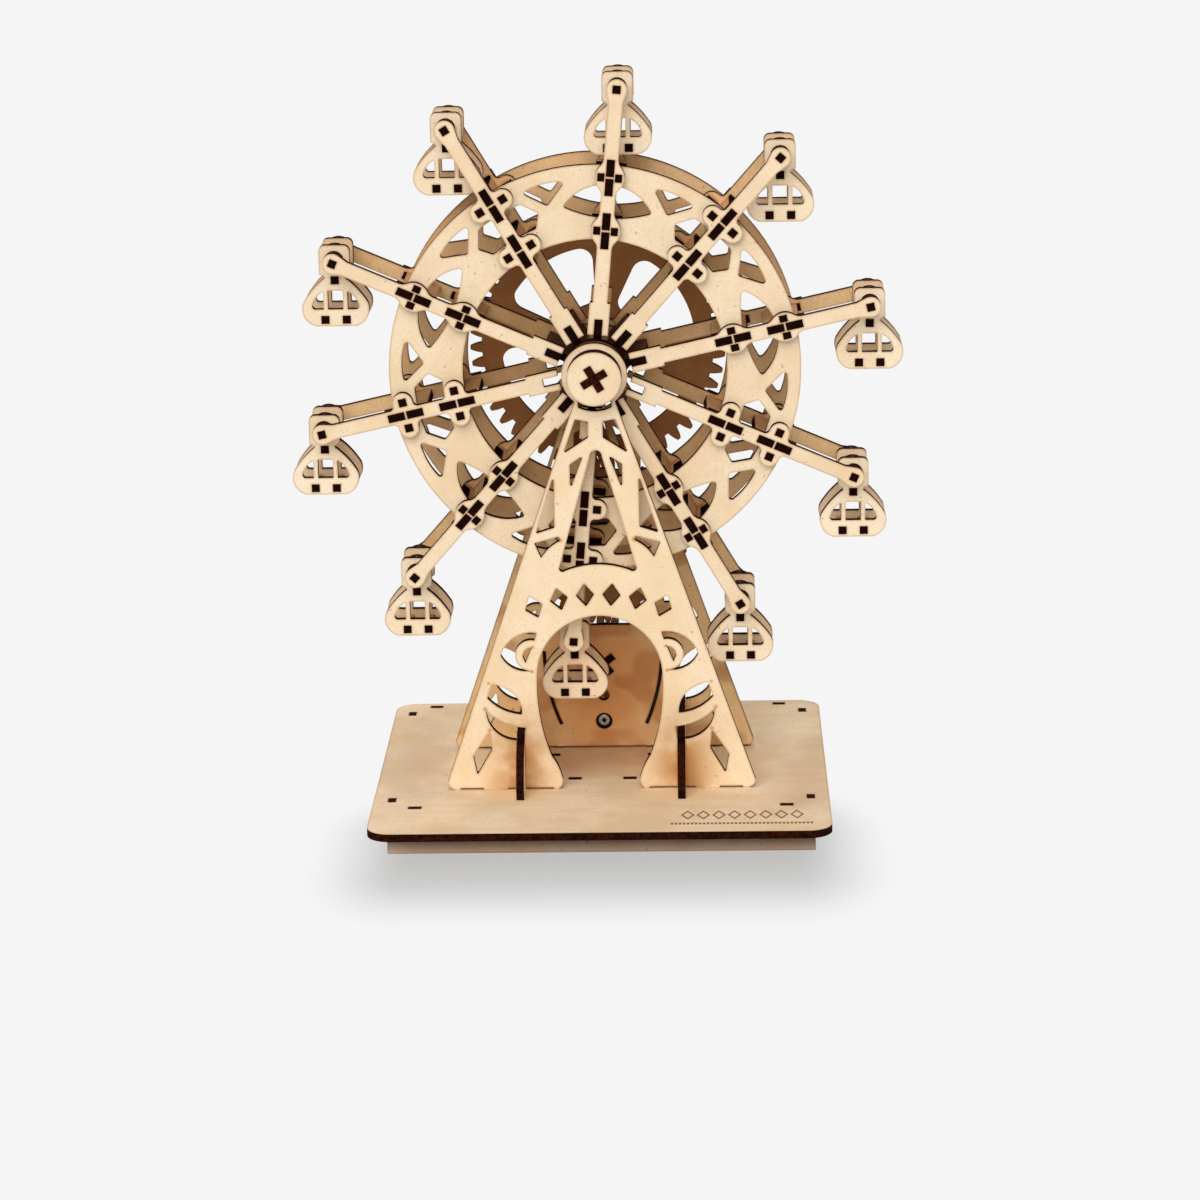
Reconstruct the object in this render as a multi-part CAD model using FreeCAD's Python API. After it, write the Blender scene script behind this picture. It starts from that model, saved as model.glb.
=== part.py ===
"""Hand cranked ferris wheel toy, cut from 3 mm sheet and slotted together.

Millimetres. +X runs to the right of the toy, +Y from its front to its back and
+Z up. The origin is the middle of the footprint, on the surface it stands on.
Every sheet piece is drawn in its own plane and given the sheet's thickness.
"""
import FreeCAD, Part
import math
import os

Vector = FreeCAD.Vector
X_AXIS = Vector(1, 0, 0)
Y_AXIS = Vector(0, 1, 0)

# Sheet and fits
SHEET = 3.0
TAB_FIT = 0.05
RUN_FIT = 0.3
BORE_FIT = 0.08
SLOT = SHEET + 2 * TAB_FIT

# Wheel
ARM_COUNT = 10
ARM_TILT = 5.4
PIN_R = 106.6
ARM_WIDTH = 5.5
ARM_ROOT_WIDTH = 7.8
ARM_STEP_R = 26.3
ARM_END_R = 14.0
FORK_R = 20.0
ARM_EYE_R = 3.9
FRONT_ARM_Y = -23.0
WHEEL_DEPTH = 32.5
JOINT_SPACING = 20.1
SPACER_LENGTH = 13.6
SPACER_BRIDGE = 0.7
SPACER_SHOULDER = 1.5
SPACER_RELIEF = 1.2
PEG = 3.0
PEG_NEAR = 3.3
PEG_NEAR_WIDTH = 2.6
PEG_FAR = 5.0
PEG_SHOULDER = 1.2
LOBE_NEAR_R = 5.6
LOBE_FAR_R = 3.8
RIM_OUTER_MARGIN = 4.3
RIM_INNER_MARGIN = 3.6
RIM_WALL = 1.2
RIM_WINDOW_CORNER = 1.0
CROSS_END = 3.5
CROSS_WAIST = 3.0

# Gondolas
GONDOLA_DROP = 25.4
GONDOLA_SPACING = 15.0
WASHER_R = 5.6
COLLAR_R = 3.6
LOW_CLEARANCE = 31.0

# Hub and axle
AXLE_STRIP = 10.4
HUB_DISC_R = 11.6
HUB_PLATE_IN_R = 9.0
RETAINER_R = 10.3
SPACER_DISC_R = 8.0
RING_REVEAL = 0.3
LOOSE_PLATES = (3, 7)
FRONT_GAP = 2.0
REAR_GAP = 2.5
AXLE_TILT = -30.0
CRANK_AXLE_TILT = -38.0

# Base
BASE_WIDTH = 175.0
BASE_DEPTH = 166.0
BASE_CORNER = 9.0
SKIRT_HEIGHT = 15.0
SKIRT_FRONT_SETBACK = 31.0
SKIRT_REAR_SETBACK = 4.5
SKIRT_SIDE_SETBACK = 7.1
SKIRT_TAB = 5.0
SKIRT_TAB_INSET = 9.4
RIB_HEIGHT = 11.0
RIB_FRONT_Y = -18.0
RIB_REAR_Y = 12.2
RIB_FRONT_TAB_X = 10.7
RIB_REAR_TAB_X = 20.0

# Gear train
WHEEL_TEETH = 48
IDLER_TEETH = 32
CRANK_TEETH = 16
PRESSURE_ANGLE = 20.0
BACKLASH = 0.25
GEAR_GAP = 0.5
TOOTH_TILT = -1.4
WINDOW_COUNT = 4
WINDOW_RIM = 10.0
WINDOW_INNER_R = 15.5
WINDOW_ANGLE = 62.0
WINDOW_CORNER = 5.0
WINDOW_TILT = 56.5
IDLER_HOLES = 5
IDLER_HOLE_R = 5.0

# Crank
CRANK_ANGLE = 180.0
CRANK_ARM_WIDTH = 9.0
CRANK_SPACER_R = 12.0
CRANK_PEG_R = 8.6
KNOB_R = 6.0
KNOB_STEP = 1.0
KNOB_DISCS = 4
KNOB_CLEARANCE = 2.0
CRANK_PIN_R = 2.0
CRANK_PIN_HEAD_R = 3.6
CRANK_PIN_HEAD = 1.6

# Screwed stiffener behind the rear tower's panel
SCREW_HOLE_R = 3.3
SCREW_HEAD_R = 2.3
SCREW_HEAD = 2.0
SCREW_R = 1.5
SOCKET_R = 0.9
SOCKET_DEPTH = 1.4
SIGHT_HOLE_R = 2.3
NUT_FLAT = 5.5
NUT_THICK = 2.4

# Towers
TOWER_RING_R = 12.4
TOWER_TAB = 9.5
FOOT_CORNER = 3.0
FOOT_PAD = 2.0
FOOT_RELIEF = 0.7
SLIT_DEPTH = 2.0
TIE_REACH = 13.3
TIE_TAB = 12.0

# Worked out from the sizes above
BASE_TOP = SKIRT_HEIGHT + SHEET
HUB_HEIGHT = PIN_R + GONDOLA_DROP + LOW_CLEARANCE
HUB_Z = BASE_TOP + HUB_HEIGHT
ARM_STEP_ANGLE = 360.0 / ARM_COUNT
OUTER_JOINT_R = PIN_R - GONDOLA_DROP - SPACER_LENGTH / 2 - 0.7
INNER_JOINT_R = OUTER_JOINT_R - JOINT_SPACING
RIM_OUTER_R = OUTER_JOINT_R + RIM_OUTER_MARGIN
RIM_INNER_R = INNER_JOINT_R - RIM_INNER_MARGIN
REAR_ARM_Y = FRONT_ARM_Y + WHEEL_DEPTH
FRONT_RIM_Y = FRONT_ARM_Y + SHEET
REAR_RIM_Y = REAR_ARM_Y + SHEET
WHEEL_MIDDLE_Y = (FRONT_ARM_Y + REAR_ARM_Y + SHEET) / 2
FRONT_TOWER_Y = FRONT_RIM_Y - FRONT_GAP - 3 * SHEET
REAR_TOWER_Y = REAR_RIM_Y + 2 * SHEET + REAR_GAP
TIE_MIDDLE_Y = (FRONT_TOWER_Y + REAR_TOWER_Y + SHEET) / 2
AXLE_BORE_R = math.hypot(AXLE_STRIP / 2, SHEET / 2) + BORE_FIT
PIN_BORE_R = SHEET / math.sqrt(2) + BORE_FIT
GEAR_Y = REAR_TOWER_Y + 3 * SHEET + GEAR_GAP
SKIRT_FRONT_Y = -BASE_DEPTH / 2 + SKIRT_FRONT_SETBACK
SKIRT_REAR_Y = BASE_DEPTH / 2 - SKIRT_REAR_SETBACK
SKIRT_SIDE_X = BASE_WIDTH / 2 - SKIRT_SIDE_SETBACK
SKIRT_TAB_X = SKIRT_SIDE_X - SKIRT_TAB_INSET
SKIRT_TAB_FRONT_Y = SKIRT_FRONT_Y + SKIRT_TAB_INSET
SKIRT_TAB_REAR_Y = SKIRT_REAR_Y - SKIRT_TAB_INSET

# The towers, gondolas and spokes are drawn at one size and scaled to these
TOWER_SCALE = HUB_HEIGHT / 163.0
GONDOLA_SCALE = GONDOLA_DROP / 25.4
SPOKE_SCALE = ARM_WIDTH / 5.5

FOOT_HALF = 59.6 * TOWER_SCALE
HEEL_X = 16.6 * TOWER_SCALE
PANEL_TOP = 51.0 * TOWER_SCALE
TOWER_TAB_X = 41.0 * TOWER_SCALE
TIE_X = 31.0 * TOWER_SCALE
TIE_SLOT_TOP = 24.6 * TOWER_SCALE
TIE_LOW = 18.4 * TOWER_SCALE
TIE_HIGH = 22.0 * TOWER_SCALE
CRANK_HEIGHT = 35.0 * TOWER_SCALE
CRANK_REACH = CRANK_HEIGHT - KNOB_R - KNOB_CLEARANCE
SCREW_Z = 11.2 * TOWER_SCALE
SIGHT_HOLE_Z = 22.0 * TOWER_SCALE
STIFFENER_HALF = 26.0 * TOWER_SCALE
STIFFENER_TOP = 17.0 * TOWER_SCALE
MODULE = (HUB_HEIGHT - CRANK_HEIGHT) / (WHEEL_TEETH / 2 + IDLER_TEETH + CRANK_TEETH / 2)
WHEEL_PITCH_R = MODULE * WHEEL_TEETH / 2
IDLER_PITCH_R = MODULE * IDLER_TEETH / 2
IDLER_HEIGHT = HUB_HEIGHT - WHEEL_PITCH_R - IDLER_PITCH_R
WINDOW_OUTER_R = WHEEL_PITCH_R - WINDOW_RIM
IDLER_HOLE_PITCH_R = IDLER_PITCH_R * 0.56


# --- Drawing in the sheet's plane -------------------------------------------

def wire(steps, y=0.0):
    """Closed wire in the plane at y; a step is (x, z), or (via, end) for an arc."""
    def at(point):
        return Vector(point[0], y, point[1])
    edges = []
    here = steps[0]
    for step in list(steps[1:]) + [steps[0]]:
        if isinstance(step[0], tuple):
            via, end = step
            edges.append(Part.Arc(at(here), at(via), at(end)).toShape())
            here = end
        elif math.dist(here, step) > 1e-6:
            edges.append(Part.LineSegment(at(here), at(step)).toShape())
            here = step
    return Part.Wire(edges)


def solid(steps, y, thickness=SHEET):
    """Sheet piece of the outline, its front face at y."""
    return Part.Face(wire(steps, y)).extrude(Vector(0, thickness, 0))


def softened(piece, radius):
    """The piece with its corners rounded, as seen in the sheet's plane."""
    corners = [edge for edge in piece.Edges
               if edge.Curve.TypeId == "Part::GeomLine" and abs(edge.tangentAt(0).y) > 0.9]
    return piece.makeFillet(radius, corners)


def box(x0, x1, y0, y1, z0, z1):
    return Part.makeBox(x1 - x0, y1 - y0, z1 - z0, Vector(x0, y0, z0))


def disc(x, z, radius, y, thickness=SHEET):
    return Part.makeCylinder(radius, thickness, Vector(x, y, z), Y_AXIS)


def square(x, z, side, y, thickness=SHEET):
    half = side / 2
    return box(x - half, x + half, y, y + thickness, z - half, z + half)


def mirrored(shape):
    return shape.mirror(Vector(0, 0, 0), X_AXIS)


def both(shape):
    return [shape, mirrored(shape)]


def cut(shape, tools):
    return shape.cut(Part.makeCompound(tools))


def fused(shapes):
    result = shapes[0].fuse(shapes[1:]) if len(shapes) > 1 else shapes[0]
    return result.removeSplitter()


def raised(shape, height):
    return shape.translated(Vector(0, 0, height))


def turned(shape, degrees):
    """Turned about the wheel's own axis, clockwise as seen from the front."""
    copy = shape.copy()
    copy.rotate(Vector(0, 0, 0), Y_AXIS, degrees)
    return copy


def rounded(points, radius):
    """Steps of a polygon whose corners are arcs of the radius, or (radius, ...) each."""
    count = len(points)
    radii = radius if isinstance(radius, tuple) else (radius,) * count
    steps = []
    for i in range(count):
        corner = Vector(points[i][0], points[i][1], 0)
        before = Vector(points[i - 1][0], points[i - 1][1], 0) - corner
        after = Vector(points[(i + 1) % count][0], points[(i + 1) % count][1], 0) - corner
        half = before.getAngle(after) / 2
        reach = radii[i] / math.tan(half)
        inward = (before.normalize() + after.normalize()).normalize()
        centre = corner + inward * (radii[i] / math.sin(half))
        start = corner + before * reach
        end = corner + after * reach
        middle = centre - inward * radii[i]
        steps.append((start.x, start.y))
        steps.append(((middle.x, middle.y), (end.x, end.y)))
    return steps


def scaled(steps, factor):
    """The same steps drawn larger or smaller about the origin."""
    def grown(point):
        return (point[0] * factor, point[1] * factor)
    return [(grown(step[0]), grown(step[1])) if isinstance(step[0], tuple) else grown(step)
            for step in steps]


def polar(degrees, radius):
    """Point at the angle clockwise from straight up."""
    turn = math.radians(degrees)
    return (radius * math.sin(turn), radius * math.cos(turn))


def around(shape, indices=range(ARM_COUNT)):
    """Copies of an arm's piece at each of its places on the wheel."""
    return [raised(turned(shape, ARM_TILT + i * ARM_STEP_ANGLE), HUB_Z) for i in indices]


def cross(y, length, width, thickness=SHEET):
    """Solid of the + section of two crossed strips."""
    flat = box(-width / 2, width / 2, y, y + length, -thickness / 2, thickness / 2)
    upright = box(-thickness / 2, thickness / 2, y, y + length, -width / 2, width / 2)
    return fused([flat, upright])


def cross_hole(y, length, degrees=0.0):
    return turned(cross(y, length, AXLE_STRIP + 2 * TAB_FIT, SLOT), degrees)


def crossed_strips(y, length, degrees=0.0):
    """Two strips that slot into each other at half their length."""
    middle = y + length / 2
    half = AXLE_STRIP / 2
    notch = SLOT / 2
    flat = box(-half, half, y, y + length, -SHEET / 2, SHEET / 2)
    flat = flat.cut(box(-notch, notch, y, middle, -SHEET, SHEET))
    upright = box(-SHEET / 2, SHEET / 2, y, y + length, -half, half)
    upright = upright.cut(box(-SHEET, SHEET, middle, y + length, -notch, notch))
    return turned(flat, degrees), turned(upright, degrees)


# --- Base -------------------------------------------------------------------

def base_slots():
    """Slots that the tabs of the skirt, the ribs, the towers and the ties fill."""
    def slot(x, y, along_x, along_y):
        return box(x - along_x / 2, x + along_x / 2, y - along_y / 2, y + along_y / 2,
                   SKIRT_HEIGHT - 1, BASE_TOP + 1)
    tab = SKIRT_TAB + 2 * TAB_FIT
    slots = []
    for side in (-1, 1):
        slots.append(slot(side * SKIRT_TAB_X, SKIRT_FRONT_Y, tab, SLOT))
        slots.append(slot(side * SKIRT_TAB_X, SKIRT_REAR_Y, tab, SLOT))
        slots.append(slot(side * SKIRT_SIDE_X, SKIRT_TAB_FRONT_Y, SLOT, tab))
        slots.append(slot(side * SKIRT_SIDE_X, SKIRT_TAB_REAR_Y, SLOT, tab))
        slots.append(slot(side * RIB_FRONT_TAB_X, RIB_FRONT_Y, tab, SLOT))
        slots.append(slot(side * RIB_REAR_TAB_X, RIB_REAR_Y, tab, SLOT))
        for tower in (FRONT_TOWER_Y, REAR_TOWER_Y):
            slots.append(slot(side * TOWER_TAB_X, tower + SHEET / 2,
                              TOWER_TAB + 2 * TAB_FIT, SLOT))
        slots.append(slot(side * TIE_X, TIE_MIDDLE_Y, SLOT, TIE_TAB + 2 * TAB_FIT))
    return slots


def base_plate():
    half_w, half_d = BASE_WIDTH / 2, BASE_DEPTH / 2
    plate = box(-half_w, half_w, -half_d, half_d, SKIRT_HEIGHT, BASE_TOP)
    corners = [edge for edge in plate.Edges if abs(edge.tangentAt(0).z) > 0.9]
    return cut(plate.makeFillet(BASE_CORNER, corners), base_slots())


def skirt_cross(y):
    """Front or rear strip, as wide as both side strips and tabbed into the base."""
    outer = SKIRT_SIDE_X + SHEET / 2
    strip = box(-outer, outer, y - SHEET / 2, y + SHEET / 2, 0, SKIRT_HEIGHT)
    tabs = [box(side * SKIRT_TAB_X - SKIRT_TAB / 2, side * SKIRT_TAB_X + SKIRT_TAB / 2,
                y - SHEET / 2, y + SHEET / 2, SKIRT_HEIGHT, BASE_TOP) for side in (-1, 1)]
    return fused([strip] + tabs)


def skirt_side(side):
    """Side strip between the front and rear ones."""
    x0, x1 = side * SKIRT_SIDE_X - SHEET / 2, side * SKIRT_SIDE_X + SHEET / 2
    strip = box(x0, x1, SKIRT_FRONT_Y + SHEET / 2, SKIRT_REAR_Y - SHEET / 2, 0, SKIRT_HEIGHT)
    tabs = [box(x0, x1, y - SKIRT_TAB / 2, y + SKIRT_TAB / 2, SKIRT_HEIGHT, BASE_TOP)
            for y in (SKIRT_TAB_FRONT_Y, SKIRT_TAB_REAR_Y)]
    return fused([strip] + tabs)


def base_rib(y, tab_x):
    inner = SKIRT_SIDE_X - SHEET / 2
    rib = box(-inner, inner, y - SHEET / 2, y + SHEET / 2,
              SKIRT_HEIGHT - RIB_HEIGHT, SKIRT_HEIGHT)
    tabs = [box(side * tab_x - SKIRT_TAB / 2, side * tab_x + SKIRT_TAB / 2,
                y - SHEET / 2, y + SHEET / 2, SKIRT_HEIGHT, BASE_TOP) for side in (-1, 1)]
    return fused([rib] + tabs)


# --- Towers -----------------------------------------------------------------

def tower_cut(steps, y):
    """Cut-out of the towers' drawing, where the base is at 0 and the hub at 163."""
    return solid(scaled(steps, TOWER_SCALE), y)


def tower_outline(y):
    """Ring at the top, straight legs and tabbed feet; heights count from the base."""
    shoulder_x, shoulder = 7.6 * TOWER_SCALE, 153.2 * TOWER_SCALE
    flat = FOOT_HALF - FOOT_CORNER
    nip = FOOT_CORNER / 3
    body = solid([(-flat, 0), ((-FOOT_HALF + nip, nip), (-FOOT_HALF, FOOT_CORNER)),
                  (-shoulder_x, shoulder),
                  ((0, HUB_HEIGHT + TOWER_RING_R), (shoulder_x, shoulder)),
                  (FOOT_HALF, FOOT_CORNER), ((FOOT_HALF - nip, nip), (flat, 0))], y)
    body = cut(body, foot_reliefs(y))
    tabs = both(box(TOWER_TAB_X - TOWER_TAB / 2, TOWER_TAB_X + TOWER_TAB / 2, y, y + SHEET,
                    -SHEET, 0))
    return fused([body] + tabs)


def foot_reliefs(y):
    """Shallow reliefs under the feet, which rest on their heels, tabs and toes."""
    inner, outer = TOWER_TAB_X - TOWER_TAB / 2, TOWER_TAB_X + TOWER_TAB / 2
    toe = FOOT_HALF - FOOT_CORNER - FOOT_PAD
    return (both(box(HEEL_X + FOOT_PAD, inner, y, y + SHEET, -1, FOOT_RELIEF))
            + both(box(outer, toe, y, y + SHEET, -1, FOOT_RELIEF)))


def tower_lattice(y):
    """Cut-outs between the ring and the band above the arch."""
    right = [
        rounded([(7.6, 146.4), (2.8, 145.5), (2.8, 139.3), (12.2, 133.2)], 0.4),
        rounded([(4.8, 132.4), (9.9, 129.0), (9.9, 119.0)], 0.4),
        rounded([(16.0, 125.5), (16.2, 104.4), (23.3, 102.1)], 0.4),
        [(14.5, 100.9), (23.9, 98.4), (21.5, 92.6), ((18.6, 96.2), (14.2, 99.2))],
    ]
    cuts = []
    for steps in right:
        cuts += both(tower_cut(steps, y))
    cuts.append(tower_cut([(-2.3, 132.0), ((0, 134.4), (2.3, 132.0)), (14.5, 89.2),
                           ((14.2, 87.3), (12.4, 87.4)), ((0, 89.8), (-12.4, 87.4)),
                           ((-14.2, 87.3), (-14.5, 89.2))], y))
    near, far = TOWER_RING_R - 2.4, TOWER_RING_R + 1.2
    cuts.append(solid([ring_point(-39, near), (ring_point(0, near), ring_point(39, near)),
                       ring_point(28, far), (ring_point(0, far), ring_point(-28, far))], y))
    return cuts


def ring_point(degrees, radius):
    """Point of the ring at the angle from straight down, in heights above the base."""
    turn = math.radians(degrees)
    return (radius * math.sin(turn), HUB_HEIGHT - radius * math.cos(turn))


def tower_band(y):
    """Row of lozenges along the band over the arch."""
    band_r, centre = 66.0 * TOWER_SCALE, 12.0 * TOWER_SCALE
    cuts = []
    for i in range(6):
        degrees = (i - 2.5) * 8.8
        turn = math.radians(degrees)
        lozenge = tower_cut(rounded([(0, 4.6), (3.5, 0), (0, -4.6), (-3.5, 0)], 0.4), y)
        cuts.append(turned(lozenge, degrees).translated(
            Vector(band_r * math.sin(turn), 0, centre + band_r * math.cos(turn))))
    return cuts


def arch(y):
    """Horseshoe opening that runs out between the feet."""
    return tower_cut([(-16.6, -1), (-16.6, 0), ((-15.0, 2.6), (-15.3, 5.4)),
                      ((-16.6, 9.2), (-19.0, 13.3)), ((-23.2, 29.0), (-24.1, 45.4)),
                      ((0, 69.5), (24.1, 45.4)), ((23.2, 29.0), (19.0, 13.3)),
                      ((16.6, 9.2), (15.3, 5.4)), ((15.0, 2.6), (16.6, 0)), (16.6, -1)], y)


def tower_leaves(y):
    """Crescents, leaves and kites in the legs."""
    right = [
        [(23.9, 63.0), ((33.0, 60.8), (37.8, 54.0)), ((34.9, 50.2), (26.3, 47.8)),
         ((32.3, 53.6), (24.8, 59.9))],
        [(25.9, 57.2), ((28.5, 56.0), (29.4, 53.5)), (28.4, 51.0)],
        [(32.7, 38.0), ((36.9, 41.1), (41.5, 42.7)), (43.4, 37.0), ((38.0, 32.6), (30.2, 30.4)),
         ((30.7, 34.4), (32.7, 38.0))],
        [(28.8, 25.0), ((37.5, 27.2), (44.0, 31.9)), ((41.9, 25.2), (32.6, 19.9)), (29.4, 19.9)],
        rounded([(42.8, 23.6), (49.4, 13.8), (48.0, 6.0), (42.1, 16.2)], 0.3),
    ]
    cuts = []
    for steps in right:
        cuts += both(tower_cut(steps, y))
    return cuts


def tie_slots(y):
    return both(box(TIE_X - SLOT / 2, TIE_X + SLOT / 2, y, y + SHEET, -1, TIE_SLOT_TOP))


def front_tower():
    y = FRONT_TOWER_Y
    bore = disc(0, HUB_HEIGHT, AXLE_BORE_R, y)
    tower = cut(tower_outline(y), [bore, arch(y)] + tower_lattice(y) + tower_band(y)
                + tower_leaves(y) + tie_slots(y))
    return raised(tower, BASE_TOP)


def rear_tower():
    """Like the front one, but a panel with the gears' fixed axles closes the arch."""
    y = REAR_TOWER_Y
    opening = arch(y).common(box(-FOOT_HALF, FOOT_HALF, y, y + SHEET, PANEL_TOP, HUB_HEIGHT))
    groove = tower_cut([(24.0, 40.5), ((22.2, 24.0), (17.6, 9.7)), (16.3, 10.2),
                        ((20.9, 24.4), (22.7, 40.4))], y - SHEET + SLIT_DEPTH)
    holes = [disc(0, HUB_HEIGHT, AXLE_BORE_R, y), disc(0, SCREW_Z, SCREW_HOLE_R, y),
             disc(0, SIGHT_HOLE_Z, SIGHT_HOLE_R, y),
             raised(cross_hole(y, SHEET), IDLER_HEIGHT),
             raised(cross_hole(y, SHEET, CRANK_AXLE_TILT), CRANK_HEIGHT),
             box(-HEEL_X, HEEL_X, y, y + SHEET, -1, FOOT_RELIEF)]
    tower = cut(tower_outline(y), holes + [opening] + both(groove) + tower_lattice(y)
                + tower_leaves(y) + tie_slots(y))
    return raised(tower, BASE_TOP)


def tie_plate(side):
    """Upright plate that both towers straddle; its ends sweep down in front and behind."""
    front, rear = FRONT_TOWER_Y - TIE_REACH, REAR_TOWER_Y + SHEET + TIE_REACH
    inside_front, inside_rear = FRONT_TOWER_Y + SHEET, REAR_TOWER_Y
    toe = SHEET
    shoulder_front, shoulder_rear = FRONT_TOWER_Y - SHEET / 2, inside_rear + 1.5 * SHEET
    swell = TIE_REACH / 8

    def at(y, height):
        return Vector(side * TIE_X - SHEET / 2, y, BASE_TOP + height)

    def line(start, end):
        return Part.LineSegment(at(*start), at(*end)).toShape()

    def sweep(start, end, outward):
        middle = ((start[0] + end[0]) / 2 + outward, (start[1] + end[1]) / 2 + swell)
        return Part.Arc(at(*start), at(*middle), at(*end)).toShape()
    top = [(shoulder_front, TIE_LOW), (inside_front, TIE_LOW), (inside_front, TIE_HIGH),
           (inside_rear, TIE_HIGH), (inside_rear, TIE_LOW), (shoulder_rear, TIE_LOW)]
    edges = [line((front, 0), (front, toe)), sweep((front, toe), top[0], -swell)]
    edges += [line(start, end) for start, end in zip(top, top[1:])]
    edges += [sweep(top[-1], (rear, toe), swell), line((rear, toe), (rear, 0)),
              line((rear, 0), (front, 0))]
    plate = Part.Face(Part.Wire(edges)).extrude(Vector(SHEET, 0, 0))
    tab = box(side * TIE_X - SHEET / 2, side * TIE_X + SHEET / 2,
              TIE_MIDDLE_Y - TIE_TAB / 2, TIE_MIDDLE_Y + TIE_TAB / 2, SKIRT_HEIGHT, BASE_TOP)
    return fused([plate, tab])


def panel_stiffener():
    y = REAR_TOWER_Y + SHEET
    plate = solid(rounded([(-STIFFENER_HALF, 0), (-STIFFENER_HALF, STIFFENER_TOP),
                           (STIFFENER_HALF, STIFFENER_TOP), (STIFFENER_HALF, 0)],
                          (0.01, FOOT_CORNER, FOOT_CORNER, 0.01)), y)
    return raised(plate.cut(disc(0, SCREW_Z, SCREW_R + TAB_FIT, y)), BASE_TOP)


def stiffener_screw():
    """Socket head screw; its head sits in the panel's hole, on the stiffener."""
    face = REAR_TOWER_Y + SHEET
    head = disc(0, SCREW_Z, SCREW_HEAD_R, face - SCREW_HEAD, SCREW_HEAD)
    head = head.makeFillet(0.3, [e for e in head.Edges if e.BoundBox.YMax < face - SCREW_HEAD + 0.1])
    shank = disc(0, SCREW_Z, SCREW_R, face, SHEET + NUT_THICK + 1.0)
    socket = disc(0, SCREW_Z, SOCKET_R, face - SCREW_HEAD, SOCKET_DEPTH)
    return raised(fused([head, shank]).cut(socket), BASE_TOP)


def stiffener_nut():
    y = REAR_TOWER_Y + 2 * SHEET
    corner_r = NUT_FLAT / math.sqrt(3)
    steps = [(corner_r * math.cos(math.radians(60 * i)),
              SCREW_Z + corner_r * math.sin(math.radians(60 * i))) for i in range(6)]
    nut = solid(steps, y, NUT_THICK).cut(disc(0, SCREW_Z, SCREW_R + TAB_FIT, y, NUT_THICK))
    return raised(nut, BASE_TOP)


# --- Wheel ------------------------------------------------------------------

def lobe(side, joint_r, near):
    """Steps of one edge of an arm past a joint, from its inner to its outer side."""
    half = ARM_WIDTH / 2
    if near:
        points, top = ((7.4, 3.0, 5.6, 3.9, 4.2), LOBE_NEAR_R)
    else:
        points, top = ((6.0, 3.2, 4.4, 4.6, 3.8), PEG_FAR + LOBE_FAR_R)
    foot, via_x, via_r, knee_x, knee_r = [value * SPOKE_SCALE for value in points]
    return [(side * half, joint_r - foot),
            ((side * via_x, joint_r - via_r), (side * knee_x, joint_r - knee_r)),
            ((side * top, joint_r), (side * knee_x, joint_r + knee_r)),
            ((side * via_x, joint_r + via_r), (side * half, joint_r + foot))]


def reversed_steps(steps):
    """The same edge walked the other way."""
    points = [steps[0]] + [step[1] for step in steps[1:]]
    vias = [step[0] for step in steps[1:]]
    back = [points[-1]]
    for via, point in zip(reversed(vias), reversed(points[:-1])):
        back.append((via, point))
    return back


def arm(y, near):
    """Forked at the hub, with a lobe at each rim joint and an eye for the pin."""
    half, root = ARM_WIDTH / 2, ARM_ROOT_WIDTH / 2
    neck, waist = PIN_R - 1.28 * ARM_EYE_R, PIN_R - 0.75 * ARM_EYE_R
    eye_x, eye_r, cheek = 0.974 * ARM_EYE_R, PIN_R - 0.23 * ARM_EYE_R, 0.84 * ARM_EYE_R
    right = lobe(1, INNER_JOINT_R, near) + lobe(1, OUTER_JOINT_R, near)
    left = reversed_steps(lobe(-1, OUTER_JOINT_R, near)) + reversed_steps(lobe(-1, INNER_JOINT_R, near))
    steps = [(SLOT / 2, ARM_END_R), (root, ARM_END_R), (root, ARM_STEP_R), (half, ARM_STEP_R)]
    steps += right + [(half, neck), ((cheek, waist), (eye_x, eye_r)),
                      ((0, PIN_R + ARM_EYE_R), (-eye_x, eye_r)), ((-cheek, waist), (-half, neck))]
    steps += left + [(-half, ARM_STEP_R), (-root, ARM_STEP_R), (-root, ARM_END_R),
                     (-SLOT / 2, ARM_END_R), (-SLOT / 2, FORK_R), (SLOT / 2, FORK_R)]
    holes = joint_holes(y, near) + [square(0, PIN_R, SLOT, y)]
    return cut(solid(steps, y), holes)


def joint_holes(y, near):
    """Two slots in line and two peg holes at each of an arm's joints."""
    holes = []
    offset, width = peg_size(near)
    half_w, half_r = width / 2 + TAB_FIT, PEG / 2 + TAB_FIT
    for joint_r in (INNER_JOINT_R, OUTER_JOINT_R):
        for sign in (-1, 1):
            r0 = joint_r + sign * SPACER_BRIDGE / 2
            r1 = joint_r + sign * (SPACER_LENGTH / 2 + TAB_FIT)
            holes.append(box(-SLOT / 2, SLOT / 2, y, y + SHEET, min(r0, r1), max(r0, r1)))
            holes.append(box(sign * offset - half_w, sign * offset + half_w, y, y + SHEET,
                             joint_r - half_r, joint_r + half_r))
    return holes


def peg_size(near):
    """Offset from the arm's middle and width of a cross spacer's pegs."""
    return (PEG_NEAR, PEG_NEAR_WIDTH) if near else (PEG_FAR, PEG)


def arms(y):
    """Arms of both kinds, in turn round the wheel."""
    return (around(arm(y, True), range(0, ARM_COUNT, 2))
            + around(arm(y, False), range(1, ARM_COUNT, 2)))


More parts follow.
